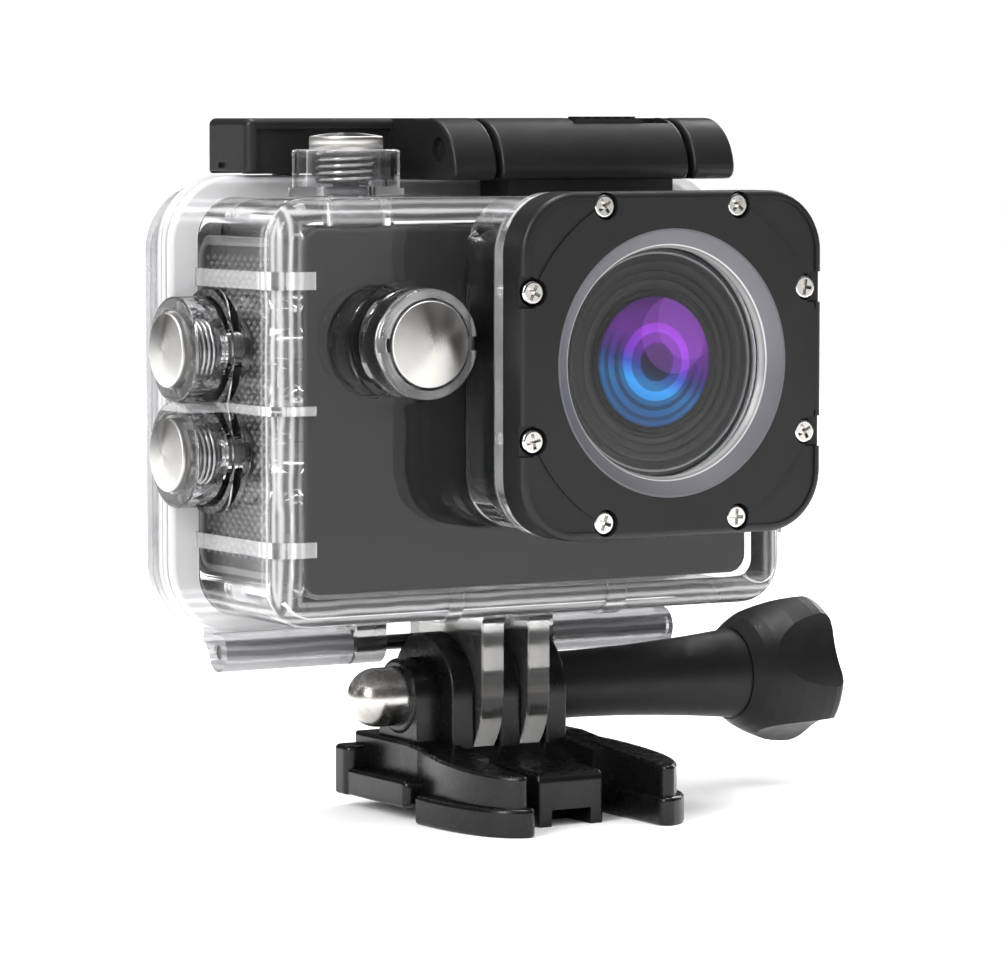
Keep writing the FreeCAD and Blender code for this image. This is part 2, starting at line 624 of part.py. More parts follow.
def buckle_base():
    deck = profile_x([(-12.0, 1.4), (-12.0, 6.3), (-6.0, 8.0), (8.5, 8.0), (8.5, 1.4)], -8.0, 8.0)
    keel = box(-8.0, 8.0, -5.0, 8.0, 0, 2.0)
    parts = [deck, keel, buckle_tongue()]
    parts += [buckle_arm(), mirror_x(buckle_arm()), buckle_side(), mirror_x(buckle_side())]
    parts += [finger(x0, x1) for x0, x1 in FINGERS]
    boss = cyl(4.4, V(-11.3, 0, AXIS_Z), X, 4)
    boss = round_at(boss, X, -11.3, 0.5)
    post = box(-11.0, -7.5, -4.4, 4.4, 4.0, AXIS_Z)
    solid = fuse_all(parts + [boss, post])
    tools = [cyl(BORE_R, V(-20, 0, AXIS_Z), X, 40)]
    tools.append(cyl(3.5, V(-20, 0, AXIS_Z), X, 11.1))
    for x0, x1 in PRONGS:
        tools.append(cyl(PRONG_R + 0.35, V(x0 - 0.2, 0, AXIS_Z), X, x1 - x0 + 0.4))
    return cut_all(solid, tools)


def dome_nut():
    barrel = cyl(3.45, V(-13.85, 0, AXIS_Z), X, 4.9)
    barrel = barrel.fuse(Part.makeSphere(3.45, V(-13.85, 0, AXIS_Z)))
    barrel = barrel.removeSplitter()
    return barrel.cut(cyl(BORE_R, V(-14.6, 0, AXIS_Z), X, 8))


def thumb_knob():
    rings = [(3.8, 0.0), (4.0, 0.25), (4.02, 6.0), (4.2, 12.0), (4.5, 17.0), (4.85, 21.5)]
    rings += [(5.2, 25.2), (5.4, 27.1)]
    outline = [(0.0, 0.0)] + rings + [(0.0, 27.1)]
    shaft = turned(outline, V(7.95, 0, AXIS_Z), X)
    flare = [(0, 0), (5.65, 0), (6.7, 1.5), (7.4, 2.8), (8.0, 4.2), (8.5, 5.6), (8.8, 7.0)]
    flare += [(9.05, 8.6), (9.1, 9.8), (8.9, 10.6), (8.4, 11.2), (7.6, 11.5), (0, 11.5)]
    head = turned(flare, V(35.0, 0, AXIS_Z), X)
    for k in range(4):
        turn = math.radians(68 + 90 * k)
        away = V(0, math.cos(turn), math.sin(turn))
        side = V(34.0, 0, AXIS_Z) + away * 20.7
        head = head.cut(cyl(13.0, side, X - away * 0.07, 18))
    solid = fuse_all([shaft, head])
    return solid.cut(cyl(BOLT_R + 0.02, V(0, 0, AXIS_Z), X, 28))


os.makedirs("parts", exist_ok=True)

save(front_shell(), "front_shell")
save_port()
save(back_door(), "back_door")
save(gasket_ring(0), "door_gasket")
save(cyl(0.9, V(-30.2, HINGE_Y, HINGE_Z), X, 60.4), "door_pin")
save(latch_lever(), "latch_lever")
save(latch_block(), "latch_block")
save(latch_slider(), "latch_slider")
save(cyl(0.75, V(-9.0, PIVOT_Y, PIVOT_Z), X, 37.2), "latch_pin")

save_button("power", POWER, 2.2, -1.75, 4.9, 4.9, 6.9)
save_button("shutter", SHUTTER, 2.5, -1.85, 4.2, 5.3, 7.3)
save_button("up", UP, 3.85, -3.0, 4.2, 4.6, 6.7)
save_button("down", DOWN, 3.85, -3.0, 4.2, 4.6, 6.7)
seals = [place(seal(), *spot) for spot in (POWER, SHUTTER, UP, DOWN)]
save(Part.makeCompound(seals), "stem_seals")

save(front_cover(), "camera_front_cover")
save(rear_cover(), "camera_rear_cover")
save(side_grip(-1), "left_grip")
save(side_grip(1), "right_grip")
save(lens_shroud(), "lens_shroud")
save_lens()
save_camera_keys()
save_camera_inside()

save(buckle_base(), "buckle_base")
save(dome_nut(), "dome_nut")
save(thumb_knob(), "thumb_knob")
save(cyl(BOLT_R, V(-12.5, 0, AXIS_Z), X, 39.5), "tilt_bolt")
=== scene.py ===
import math

import bmesh
import bpy
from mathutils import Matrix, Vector
from mathutils.geometry import tessellate_polygon


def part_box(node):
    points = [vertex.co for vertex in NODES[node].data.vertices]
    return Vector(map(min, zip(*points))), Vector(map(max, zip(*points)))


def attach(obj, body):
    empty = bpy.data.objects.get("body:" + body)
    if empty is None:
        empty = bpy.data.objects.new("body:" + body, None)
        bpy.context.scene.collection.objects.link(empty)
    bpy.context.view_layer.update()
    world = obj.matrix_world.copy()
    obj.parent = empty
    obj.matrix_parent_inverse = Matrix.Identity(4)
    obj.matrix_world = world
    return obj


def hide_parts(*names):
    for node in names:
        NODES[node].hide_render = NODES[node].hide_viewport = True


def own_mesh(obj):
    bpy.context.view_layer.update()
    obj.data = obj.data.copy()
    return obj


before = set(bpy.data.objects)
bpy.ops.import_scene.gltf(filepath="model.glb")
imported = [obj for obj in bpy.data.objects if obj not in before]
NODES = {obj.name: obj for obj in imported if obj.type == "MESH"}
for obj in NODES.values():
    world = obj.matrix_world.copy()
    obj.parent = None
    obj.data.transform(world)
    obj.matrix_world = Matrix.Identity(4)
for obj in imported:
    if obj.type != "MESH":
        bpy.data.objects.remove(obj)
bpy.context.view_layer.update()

MM = 0.001
LENS = Vector((9.435, -27.3, 52.78)) * MM          # centre of the port's front ring
CAP_AXES = {                                       # the way each button faces
    "power_cap": Vector((0, -1, 0)),
    "shutter_cap": Vector((0, 0, 1)),
    "up_cap": Vector((-1, 0, 0)),
    "down_cap": Vector((-1, 0, 0)),
}
SHELL_OUTLINE = (47.625, 37.44, 26.225)            # flange: middle height, half width, half height (mm)
DOOR_OUTLINE = (47.2, 37.44, 25.8)                 # the same for the rear door
BAND_HEIGHTS = ((61.35, 63.4), (47.3, 48.4), (31.4, 33.2))   # raised bands on the shell's side (mm)
RIM_GLOW_PITCH = 1.1 * MM                          # spacing of the painted glow lines along the shell's rims
TURNING_PITCH = 0.12 * MM                          # fine rings left by the lathe on the port's ring
GRIP_DEPTH = 0.45 * MM                             # knurled field below the grip's border
FLOOR_RADIUS = 12.0                                # metres, well past what any view shows


# ---- material building blocks ----

def greys(stops, blue=1.0):
    """Colour stops from (position, grey) pairs, with the blue a little stronger if wanted."""
    return [(at, (grey, grey, grey * blue)) for at, grey in stops]


def fill_ramp(node, stops):
    """Give a colour ramp its stops, as (position, (red, green, blue))."""
    elements = node.color_ramp.elements
    while len(elements) < len(stops):
        elements.new(0.5)
    for element, (at, colour) in zip(elements, stops):
        element.position = at
        element.color = (*colour, 1.0)


class Nodes:
    """A material's node tree with short calls for the nodes used here."""

    def __init__(self, name):
        self.mat = bpy.data.materials.new(name)
        self.mat.use_nodes = True
        self.tree = self.mat.node_tree
        self.tree.nodes.clear()
        self.out = self.tree.nodes.new("ShaderNodeOutputMaterial")
        self.bsdf = self.tree.nodes.new("ShaderNodeBsdfPrincipled")
        self.tree.links.new(self.bsdf.outputs[0], self.out.inputs[0])
        self.place = self.tree.nodes.new("ShaderNodeTexCoord").outputs["Object"]

    def new(self, kind, **sockets):
        node = self.tree.nodes.new(kind)
        for name, value in sockets.items():
            node.inputs[name.replace("_", " ")].default_value = value
        return node

    def link(self, source, target):
        self.tree.links.new(source, target)

    def noise(self, scale, detail=3.0, roughness=0.55, stretch=None):
        node = self.new("ShaderNodeTexNoise", Scale=scale, Detail=detail, Roughness=roughness)
        self.link(self.stretched(stretch), node.inputs["Vector"])
        return node.outputs["Fac"]

    def stretched(self, stretch):
        if stretch is None:
            return self.place
        node = self.new("ShaderNodeMapping")
        node.inputs["Scale"].default_value = stretch
        self.link(self.place, node.inputs["Vector"])
        return node.outputs[0]

    def between(self, fac, low_value, high_value, start=0.3, end=0.7):
        node = self.new("ShaderNodeMapRange")
        self.link(fac, node.inputs["Value"])
        node.inputs["From Min"].default_value = start
        node.inputs["From Max"].default_value = end
        node.inputs["To Min"].default_value = low_value
        node.inputs["To Max"].default_value = high_value
        return node.outputs[0]

    def ramp(self, fac, stops):
        node = self.new("ShaderNodeValToRGB")
        fill_ramp(node, stops)
        self.link(fac, node.inputs[0])
        return node.outputs[0]

    def math(self, operation, a, b=None):
        node = self.new("ShaderNodeMath")
        node.operation = operation
        for socket, value in zip(node.inputs, (a, b)):
            if value is None:
                continue
            if isinstance(value, (int, float)):
                socket.default_value = value
            else:
                self.link(value, socket)
        return node.outputs[0]

    def blend(self, kind, amount, a, b):
        """Mix of two colours; the amount may be a number or a socket."""
        node = self.new("ShaderNodeMix")
        node.data_type = "RGBA"
        node.blend_type = kind
        for name, value in (("Factor", amount), ("A", a), ("B", b)):
            socket = node.inputs[name]
            if isinstance(value, (int, float, tuple)):
                socket.default_value = value
            else:
                self.link(value, socket)
        return node.outputs["Result"]

    def axis_distance(self, centre, axis):
        """Distance from a line through centre along one of the row axes."""
        shift = self.new("ShaderNodeVectorMath")
        shift.operation = "SUBTRACT"
        self.link(self.place, shift.inputs[0])
        shift.inputs[1].default_value = centre
        flat = self.new("ShaderNodeVectorMath")
        flat.operation = "MULTIPLY"
        self.link(shift.outputs[0], flat.inputs[0])
        flat.inputs[1].default_value = [1.0 - abs(a) for a in axis]
        size = self.new("ShaderNodeVectorMath")
        size.operation = "LENGTH"
        self.link(flat.outputs[0], size.inputs[0])
        return size.outputs["Value"]

    def bump(self, height, strength, distance, after=None):
        node = self.new("ShaderNodeBump", Strength=strength, Distance=distance)
        self.link(height, node.inputs["Height"])
        if after is not None:
            self.link(after, node.inputs["Normal"])
        self.link(node.outputs[0], self.bsdf.inputs["Normal"])
        return node.outputs[0]

    def set(self, **sockets):
        for name, value in sockets.items():
            self.bsdf.inputs[name.replace("_", " ")].default_value = value


def tinted(m, base, spread, scale):
    """Base colour that drifts a little over the surface."""
    light = tuple(min(1.0, c * (1 + spread)) for c in base)
    dark = tuple(c * (1 - spread) for c in base)
    drift = m.noise(scale, detail=4.0)
    m.link(m.ramp(drift, [(0.3, dark), (0.7, light)]), m.bsdf.inputs["Base Color"])


def past_outline(m, x, z, mid_z, half_x, half_z, radius=8.0):
    """Signed distance outside a rounded rectangle in the (x, z) plane, sizes in mm."""
    over_x = m.math("SUBTRACT", m.math("ABSOLUTE", x), (half_x - radius) * MM)
    rise = m.math("ABSOLUTE", m.math("SUBTRACT", z, mid_z * MM))
    over_z = m.math("SUBTRACT", rise, (half_z - radius) * MM)
    corner_x = m.math("POWER", m.math("MAXIMUM", over_x, 0.0), 2.0)
    corner_z = m.math("POWER", m.math("MAXIMUM", over_z, 0.0), 2.0)
    outside = m.math("SQRT", m.math("ADD", corner_x, corner_z))
    inside = m.math("MINIMUM", m.math("MAXIMUM", over_x, over_z), 0.0)
    return m.math("SUBTRACT", m.math("ADD", outside, inside), radius * MM)


def clear_plastic(name, zones):
    """Clear moulding with painted light: whitish glow lines painted along its rims, a painted whitish
    glow on the flange, painted grey shade at the outer edge, and darker, hazier prongs and hinge below.
    """
    m = Nodes(name)
    m.set(IOR=1.3, Specular_IOR_Level=0.24)
    split = m.new("ShaderNodeSeparateXYZ")
    m.link(m.place, split.inputs[0])
    past, glow_depth, edge_shade_depth = zones(m, split.outputs["X"], split.outputs["Y"], split.outputs["Z"])
    # Painted light: whitish glow lines painted along the rims, taken out of the transmission.
    wander = m.math("MULTIPLY", m.noise(120, detail=3.0), 5.0)
    waves = m.math("SINE", m.math("ADD", m.math("MULTIPLY", past, 2 * math.pi / RIM_GLOW_PITCH), wander))
    glow_lines = m.between(waves, 0.08, 0.34, -0.6, 1.0)
    rim = m.math("MULTIPLY", m.between(past, 0.0, 1.0, 0.0, 2.0 * MM), glow_lines)
    # Painted light: a whitish glow on the flange, bands and lid line, also toned grey in the base colour.
    painted_glow = m.between(glow_depth, 0.0, 0.5, 0.0, 0.12 * MM)
    # Darker, hazier and less clear below 20 to 23 mm high: the prongs and hinge.
    height = m.between(split.outputs["Z"], 0.0, 1.0, 20.0 * MM, 23.0 * MM)
    lower_haze = m.between(height, 0.09, 0.0, 0.3, 0.8)
    lost = m.math("ADD", m.math("ADD", 0.002, lower_haze), m.math("ADD", rim, painted_glow))
    m.link(m.math("SUBTRACT", 1.0, lost), m.bsdf.inputs["Transmission Weight"])
    tint = m.ramp(height, [(0.35, (0.29, 0.286, 0.279)), (0.7, (0.972, 0.973, 0.985))])
    tint = m.blend("MIX", m.between(painted_glow, 0.0, 0.3, 0.2, 0.5), tint, (0.5, 0.5, 0.51, 1.0))
    # Painted shade: grey mixed into the base colour at the outer edge.
    edge = m.between(edge_shade_depth, 0.0, 0.8, 0.0, 0.3 * MM)
    m.link(m.blend("MIX", edge, tint, (0.5, 0.5, 0.52, 1.0)), m.bsdf.inputs["Base Color"])
    haze = m.math("ADD", m.between(rim, 0.0, 0.05, 0.0, 0.3), m.math("MULTIPLY", lower_haze, 1.6))
    m.link(m.math("ADD", haze, m.math("MULTIPLY", painted_glow, 0.6)), m.bsdf.inputs["Roughness"])
    flow = m.noise(55, detail=2.0, stretch=(1.0, 1.0, 2.2))
    m.bump(flow, 0.12, 0.0006)
    return m.mat


def shell_zones(m, x, y, z):
    """Depths into the shell's zones of painted light: the rims with painted glow lines, the flange, bands
    and top with a painted whitish glow, and the outer edge with painted grey shade.
    """
    side = m.math("ABSOLUTE", x)
    bottom = m.math("MINIMUM", m.math("SUBTRACT", 27.2 * MM, z), m.math("SUBTRACT", z, 22.2 * MM))
    top = m.math("MINIMUM", m.math("SUBTRACT", z, 68.0 * MM), m.math("SUBTRACT", 72.0 * MM, z))
    corner = m.math("MINIMUM", m.math("SUBTRACT", side, 30.2 * MM), m.math("SUBTRACT", -9.2 * MM, y))
    ends = m.math("MAXIMUM", m.math("SUBTRACT", -38.8 * MM, x), m.math("SUBTRACT", z, 75.9 * MM))
    power_end = m.math("MINIMUM", m.math("SUBTRACT", -18.2 * MM, y), m.math("SUBTRACT", -11.5 * MM, x))
    port_end = m.math("MINIMUM", m.math("SUBTRACT", -20.3 * MM, y), m.math("SUBTRACT", x, -11.5 * MM))
    ends = m.math("MAXIMUM", ends, m.math("MAXIMUM", power_end, port_end))
    past = m.math("MAXIMUM", m.math("MAXIMUM", bottom, top), m.math("MAXIMUM", corner, ends))
    outline_depth = past_outline(m, x, z, *SHELL_OUTLINE)
    # Zone of the painted whitish glow: the flange, then the raised bands and the lid line.
    painted_glow = m.math("MINIMUM", m.math("SUBTRACT", y, 5.25 * MM), m.math("ADD", outline_depth, 4.2 * MM))
    painted_glow = m.math("MINIMUM", painted_glow, m.math("SUBTRACT", 0.3 * MM, outline_depth))
    raised = m.math("MAXIMUM", m.math("SUBTRACT", side, 34.16 * MM), m.math("SUBTRACT", -13.72 * MM, y))
    for z0, z1 in BAND_HEIGHTS:
        level = m.math("MINIMUM", m.math("SUBTRACT", z, z0 * MM), m.math("SUBTRACT", z1 * MM, z))
        level = m.math("MINIMUM", level, m.math("SUBTRACT", side, 29.2 * MM))
        level = m.math("MINIMUM", m.math("MINIMUM", level, raised), 0.055 * MM)
        painted_glow = m.math("MAXIMUM", painted_glow, level)
    lid = m.math("MINIMUM", m.math("SUBTRACT", z, 71.4 * MM), m.math("SUBTRACT", 71.6 * MM, z))
    painted_glow = m.math("MAXIMUM", painted_glow, m.math("MINIMUM", lid, 0.03 * MM))
    # Depth into the outer edge, which gets painted grey shade.
    edge_shade_depth = m.math("MINIMUM", m.math("SUBTRACT", y, 8.6 * MM), m.math("ADD", outline_depth, 0.5 * MM))
    return past, painted_glow, edge_shade_depth


def door_zones(m, x, _y, z):
    """The same depths for the door: a painted whitish glow inside its edge, painted grey shade at the
    very outside.
    """
    depth = past_outline(m, x, z, *DOOR_OUTLINE)
    past = m.math("ADD", depth, 4.4 * MM)
    # Zone of the painted whitish glow, inside the door's edge.
    glow_depth = m.math("MINIMUM", m.math("ADD", depth, 3.4 * MM), m.math("SUBTRACT", -0.5 * MM, depth))
    return past, glow_depth, m.math("ADD", depth, 0.6 * MM)


def satin_black(name, base, rough=(0.3, 0.42), grain=2600, depth=0.00003, shine=0.26, wave=0.0002):
    """Moulded black plastic: fine grain on a slow ripple, with a colour that drifts slightly."""
    m = Nodes(name)
    m.set(Specular_IOR_Level=shine)
    tinted(m, (base, base, base * 1.05), 0.18, 90)
    m.link(m.between(m.noise(420, detail=6.0), *rough), m.bsdf.inputs["Roughness"])
    fine = m.bump(m.noise(grain, detail=2.0), 0.35, depth)
    m.bump(m.noise(300, detail=3.0), 0.08, wave, after=fine)
    return m.mat


def face_black():
    """Camera face: satin black with painted shade, darkest at its bottom and paler towards its top."""
    m = Nodes("camera_face")
    m.set(Specular_IOR_Level=0.04)
    split = m.new("ShaderNodeSeparateXYZ")
    m.link(m.place, split.inputs[0])
    # Painted shade: the base colour darkens towards the bottom of the face and pales towards its top.
    drift = m.math("MULTIPLY", m.noise(90, detail=4.0), 4.0 * MM)
    rise = m.between(m.math("ADD", split.outputs["Z"], drift), 0.0, 1.0, 30.0 * MM, 66.0 * MM)
    painted_shade_ramp = greys([(0.0, 0.002), (0.5, 0.018), (1.0, 0.031)], 1.03)
    m.link(m.ramp(rise, painted_shade_ramp), m.bsdf.inputs["Base Color"])
    m.link(m.between(m.noise(420, detail=6.0), 0.4, 0.52), m.bsdf.inputs["Roughness"])
    m.bump(m.noise(90, detail=2.0), 0.08, 0.00004)
    return m.mat


def spun_steel(name, centre, axis, base=(0.55, 0.535, 0.51)):
    """Brushed metal whose marks run round an axis."""
    m = Nodes(name)
    m.set(Metallic=1.0, Anisotropic=0.9)
    tinted(m, base, 0.05, 300)
    turn = m.new("ShaderNodeTangent")
    turn.direction_type = "RADIAL"
    turn.axis = "XYZ"[[abs(a) > 0.5 for a in axis].index(True)]
    m.link(turn.outputs[0], m.bsdf.inputs["Tangent"])
    reach = m.between(m.axis_distance(centre, axis), 0.0, 1.0, 0.0, 5.0 * MM)
    variation = m.math("MULTIPLY", reach, m.noise(250, detail=3.0))
    m.link(m.between(variation, 0.25, 0.36, 0.0, 0.6), m.bsdf.inputs["Roughness"])
    return m.mat


def polished_steel(name, base=(0.66, 0.64, 0.61), rough=(0.1, 0.2)):
    """Smooth metal with slightly uneven polish."""
    m = Nodes(name)
    m.set(Metallic=1.0)
    tinted(m, base, 0.06, 400)
    m.link(m.between(m.noise(700, detail=6.0), *rough), m.bsdf.inputs["Roughness"])
    m.bump(m.noise(1800, detail=4.0), 0.06, 0.00003)
    return m.mat


def flat_glass():
    """Clear port window with a faint cool tint."""
    m = Nodes("port_glass")
    m.set(IOR=1.3, Transmission_Weight=1.0, Specular_IOR_Level=0.12)
    tinted(m, (0.97, 0.975, 0.985), 0.01, 50)
    m.set(Roughness=0.0)
    return m.mat


def port_metal(name):
    """Grey anodised bevel in front, bright turned wall behind it, with rings about the lens axis."""
    m = Nodes(name)
    split = m.new("ShaderNodeSeparateXYZ")
    m.link(m.place, split.inputs[0])
    depth = m.between(split.outputs["Y"], 0.0, 1.0, LENS.y, LENS.y + 2.4 * MM)
    bands = [(0.0, (0.084, 0.084, 0.096)), (0.46, (0.1, 0.1, 0.113)), (0.5, (0.5, 0.5, 0.5)),
             (0.54, (0.2, 0.2, 0.2)), (0.75, (0.38, 0.38, 0.38)), (1.0, (0.25, 0.25, 0.25))]
    m.link(m.ramp(depth, bands), m.bsdf.inputs["Base Color"])
    m.link(m.between(depth, 0.1, 0.35, 0.4, 0.52), m.bsdf.inputs["Metallic"])
    reach = m.axis_distance(LENS, (0, 1, 0))
    rings = m.math("SINE", m.math("MULTIPLY", reach, 2 * math.pi / TURNING_PITCH))
    m.link(m.between(m.noise(600, detail=5.0), 0.3, 0.42), m.bsdf.inputs["Roughness"])
    m.bump(rings, 0.05, 0.00001)
    return m.mat


def rubber(name, base, rough=(0.55, 0.72)):
    """Matt soft moulding with a fine grain."""
    m = Nodes(name)
    tinted(m, base, 0.1, 150)
    m.link(m.between(m.noise(350, detail=5.0), *rough), m.bsdf.inputs["Roughness"])
    m.bump(m.noise(1500, detail=3.0), 0.3, 0.00005)
    return m.mat


def pale_tipped_rubber(name):
    """Black rubber, paler on its raised points than in its valleys."""
    m = Nodes(name)
    split = m.new("ShaderNodeSeparateXYZ")
    m.link(m.place, split.inputs[0])
    # Paler towards the raised points, darker in the valleys, set by height alone.
    raised = m.between(m.math("ABSOLUTE", split.outputs["X"]), 0.0, 1.0, 29.15 * MM, 29.64 * MM)
    variation = greys([(0.0, 0.004), (0.35, 0.01), (0.6, 0.1), (1.0, 0.16)])
    m.link(m.ramp(raised, variation), m.bsdf.inputs["Base Color"])
    m.link(m.between(m.noise(350, detail=5.0), 0.4, 0.6), m.bsdf.inputs["Roughness"])
    m.bump(m.noise(1500, detail=3.0), 0.2, 0.00004)
    return m.mat


def flat_finish(name, base, roughness, scale):
    """Plain painted or printed surface with a mottled sheen."""
    m = Nodes(name)
    tinted(m, base, 0.12, scale)
    uneven = m.between(m.noise(scale, detail=5.0), roughness * 0.8, roughness * 1.3)
    m.link(uneven, m.bsdf.inputs["Roughness"])
    m.bump(m.noise(scale * 3, detail=3.0), 0.1, 0.00003)
    return m.mat


def circuit_board(name, base):
    """Solder mask with a brick pattern of paler tracks."""
    m = Nodes(name)
    tracks = m.new("ShaderNodeTexBrick", Scale=600.0, Mortar_Size=0.03)
    tracks.inputs["Color1"].default_value = (*base, 1.0)
    tracks.inputs["Color2"].default_value = (*[c * 0.8 for c in base], 1.0)
    tracks.inputs["Mortar"].default_value = (*[c * 1.7 for c in base], 1.0)
    m.link(m.place, tracks.inputs["Vector"])
    m.link(tracks.outputs["Color"], m.bsdf.inputs["Base Color"])
    m.link(m.between(m.noise(500), 0.25, 0.4), m.bsdf.inputs["Roughness"])
    return m.mat


def turned_black(name):
    """Dark metal with painted light: each step painted a little lighter towards its outer edge, and a
    thin painted highlight ring near the outer rim.
    """
    m = Nodes(name)
    m.set(Specular_IOR_Level=0.12)
    reach = m.between(m.axis_distance(LENS, (0, 1, 0)), 0.0, 1.0, 7.5 * MM, 12.9 * MM)
    # Painted light: the steps lighten towards their outer edges; 0.9 to 0.925 is a painted highlight ring
    # near the barrel's rim.
    bands = [(0.0, 0.002), (0.1, 0.006), (0.13, 0.001), (0.2, 0.016), (0.33, 0.024), (0.36, 0.002),
             (0.5, 0.018), (0.54, 0.003), (0.7, 0.024), (0.74, 0.004), (0.88, 0.022), (0.9, 0.3),
             (0.925, 0.25), (0.94, 0.01), (1.0, 0.02)]
    m.link(m.ramp(reach, greys(bands, 1.03)), m.bsdf.inputs["Base Color"])
    m.link(m.between(m.noise(160, detail=3.0), 0.28, 0.38), m.bsdf.inputs["Roughness"])
    return m.mat


def coated_glass(name):
    """Lens coating: violet above, blue below, with painted light: bright rings about the lens axis,
    darker arcs over their lower half, and two painted flare discs.
    """
    m = Nodes(name)
    m.set(Specular_IOR_Level=0.04)
    split = m.new("ShaderNodeSeparateXYZ")
    m.link(m.place, split.inputs[0])
    across = m.math("MULTIPLY", m.math("SUBTRACT", split.outputs["X"], LENS.x), 0.35)
    upward = m.math("ADD", m.math("SUBTRACT", split.outputs["Z"], LENS.z), across)
    mixed = m.between(upward, 0.0, 1.0, -7.5 * MM, 7.5 * MM)
    hues = [(0.03, (0.014, 0.15, 0.45)), (0.3, (0.025, 0.24, 0.6)), (0.43, (0.03, 0.06, 0.36)),
            (0.52, (0.12, 0.02, 0.36)), (0.7, (0.2, 0.022, 0.4)), (0.95, (0.12, 0.012, 0.24))]
    colour = m.ramp(mixed, hues)
    reach = m.between(m.axis_distance(LENS, (0, 1, 0)), 0.0, 1.0, 0.0, 7.7 * MM)
    # Painted light: bright rings about the lens axis, with darker arcs painted over their lower half.
    glow = [(0.0, 0.05), (0.22, 0.1), (0.285, 0.2), (0.295, 0.68), (0.435, 0.66), (0.445, 1.4),
            (0.575, 1.25), (0.585, 0.5), (0.8, 0.56), (0.93, 0.5), (0.98, 0.08)]
    arcs = [(0.64, 0.0), (0.67, 0.6), (0.71, 0.65), (0.74, 0.0),
            (0.81, 0.0), (0.83, 0.6), (0.87, 0.5), (0.9, 0.0)]
    lower_half = m.between(upward, 1.0, 0.1, -1.0 * MM, 2.0 * MM)
    dark_arcs = m.math("MULTIPLY", m.ramp(reach, greys(arcs)), lower_half)
    rings = m.math("MULTIPLY", m.ramp(reach, greys(glow)), m.math("SUBTRACT", 1.0, dark_arcs))
    shown = m.blend("MULTIPLY", 1.0, colour, rings)
    # Painted reflections: two flare discs painted lighter on the upper right of the lens.
    for across_mm, up_mm, radius_mm, gain in ((2.4, 3.0, 4.3, 0.5), (4.5, 4.4, 4.2, 0.4)):
        spot = LENS + Vector((across_mm, 0.0, up_mm)) * MM
        away = m.axis_distance(spot, (0, 1, 0))
        inside = m.between(away, gain, 0.0, radius_mm * MM, (radius_mm + 0.15) * MM)
        lit = m.math("MULTIPLY", inside, m.between(reach, 1.0, 0.0, 0.95, 0.98))
        shown = m.blend("ADD", lit, shown, (0.13, 0.038, 0.22, 1.0))
    m.link(shown, m.bsdf.inputs["Base Color"])
    m.link(m.between(m.noise(300), 0.12, 0.2), m.bsdf.inputs["Roughness"])
    return m.mat


def assign(material, *names):
    """Put one material on CAD nodes, in place of the one they come with."""
    for name in names:
        mesh = NODES[name].data
        mesh.materials.clear()
        mesh.materials.append(material)


BLACK = satin_black("satin_black", 0.0095)
assign(clear_plastic("clear_shell", shell_zones), "front_shell")
assign(clear_plastic("clear_door", door_zones), "back_door")
assign(BLACK, "lens_bezel", "latch_lever", "latch_block", "latch_slider")
assign(satin_black("knob_black", 0.0065, (0.4, 0.52), shine=0.24), "thumb_knob")
assign(satin_black("gloss_black", 0.003, (0.24, 0.32), 1200, 0.000004, 0.34, 0.00003), "buckle_base")
assign(satin_black("camera_dark", 0.0015, (0.3, 0.42), shine=0.04), "camera_rear_cover", "lens_shroud",
       "battery_lid")
assign(turned_black("lens_black"), "lens_trim_ring", "lens_barrel")
assign(face_black(), "camera_front_cover")
assign(satin_black("camera_keys", 0.0012, (0.3, 0.4), shine=0.04), "power_key", "shutter_key",
       "up_key", "down_key")
assign(satin_black("stem_nylon", 0.03, (0.4, 0.5)), "power_stem", "shutter_stem", "up_stem", "down_stem")
GRIP = pale_tipped_rubber("grip_rubber")
assign(rubber("clear_silicone", (0.82, 0.82, 0.84)), "door_gasket", "port_gasket")
assign(rubber("seal_silicone", (0.09, 0.09, 0.095)), "stem_seals")
assign(flat_glass(), "port_window")
assign(port_metal("port_metal"), "port_ring")
assign(coated_glass("lens_coating"), "lens_front_glass", "lens_inner_glass")
assign(polished_steel("bright_steel"), "bezel_screws", "tilt_bolt", "latch_pin")
assign(polished_steel("dark_pin", (0.13, 0.13, 0.13), (0.3, 0.4)), "door_pin")
assign(polished_steel("nut_steel", (0.6, 0.58, 0.55), (0.2, 0.3)), "dome_nut")
SPRING = polished_steel("spring_steel", (0.3, 0.3, 0.3), (0.16, 0.26))
assign(SPRING, "power_clip", "shutter_clip", "up_clip", "down_clip")
assign(circuit_board("green_board", (0.02, 0.12, 0.05)), "main_board", "sensor_board")
assign(flat_finish("sensor_cover", (0.02, 0.035, 0.12), 0.12, 900), "image_sensor")
assign(flat_finish("battery_wrap", (0.16, 0.2, 0.3), 0.35, 120), "battery")
assign(flat_finish("display_frame", (0.2, 0.2, 0.21), 0.4, 500), "display_module")
assign(polished_steel("speaker_metal", (0.3, 0.3, 0.31), (0.3, 0.45)), "speaker")
assign(satin_black("display_glass_black", 0.004, (0.05, 0.1)), "display_glass")


# ---- button caps and springs ----

def piece(name, work, material, body, node):
    """Turn finished bmesh work into an object that stands in for a CAD node."""
    bmesh.ops.recalc_face_normals(work, faces=work.faces)
    mesh = bpy.data.meshes.new(name)
    work.to_mesh(mesh)
    work.free()
    mesh.materials.append(material)
    item = bpy.data.objects.new(name, mesh)
    bpy.context.scene.collection.objects.link(item)
    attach(item, body)
    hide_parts(node)
    return item


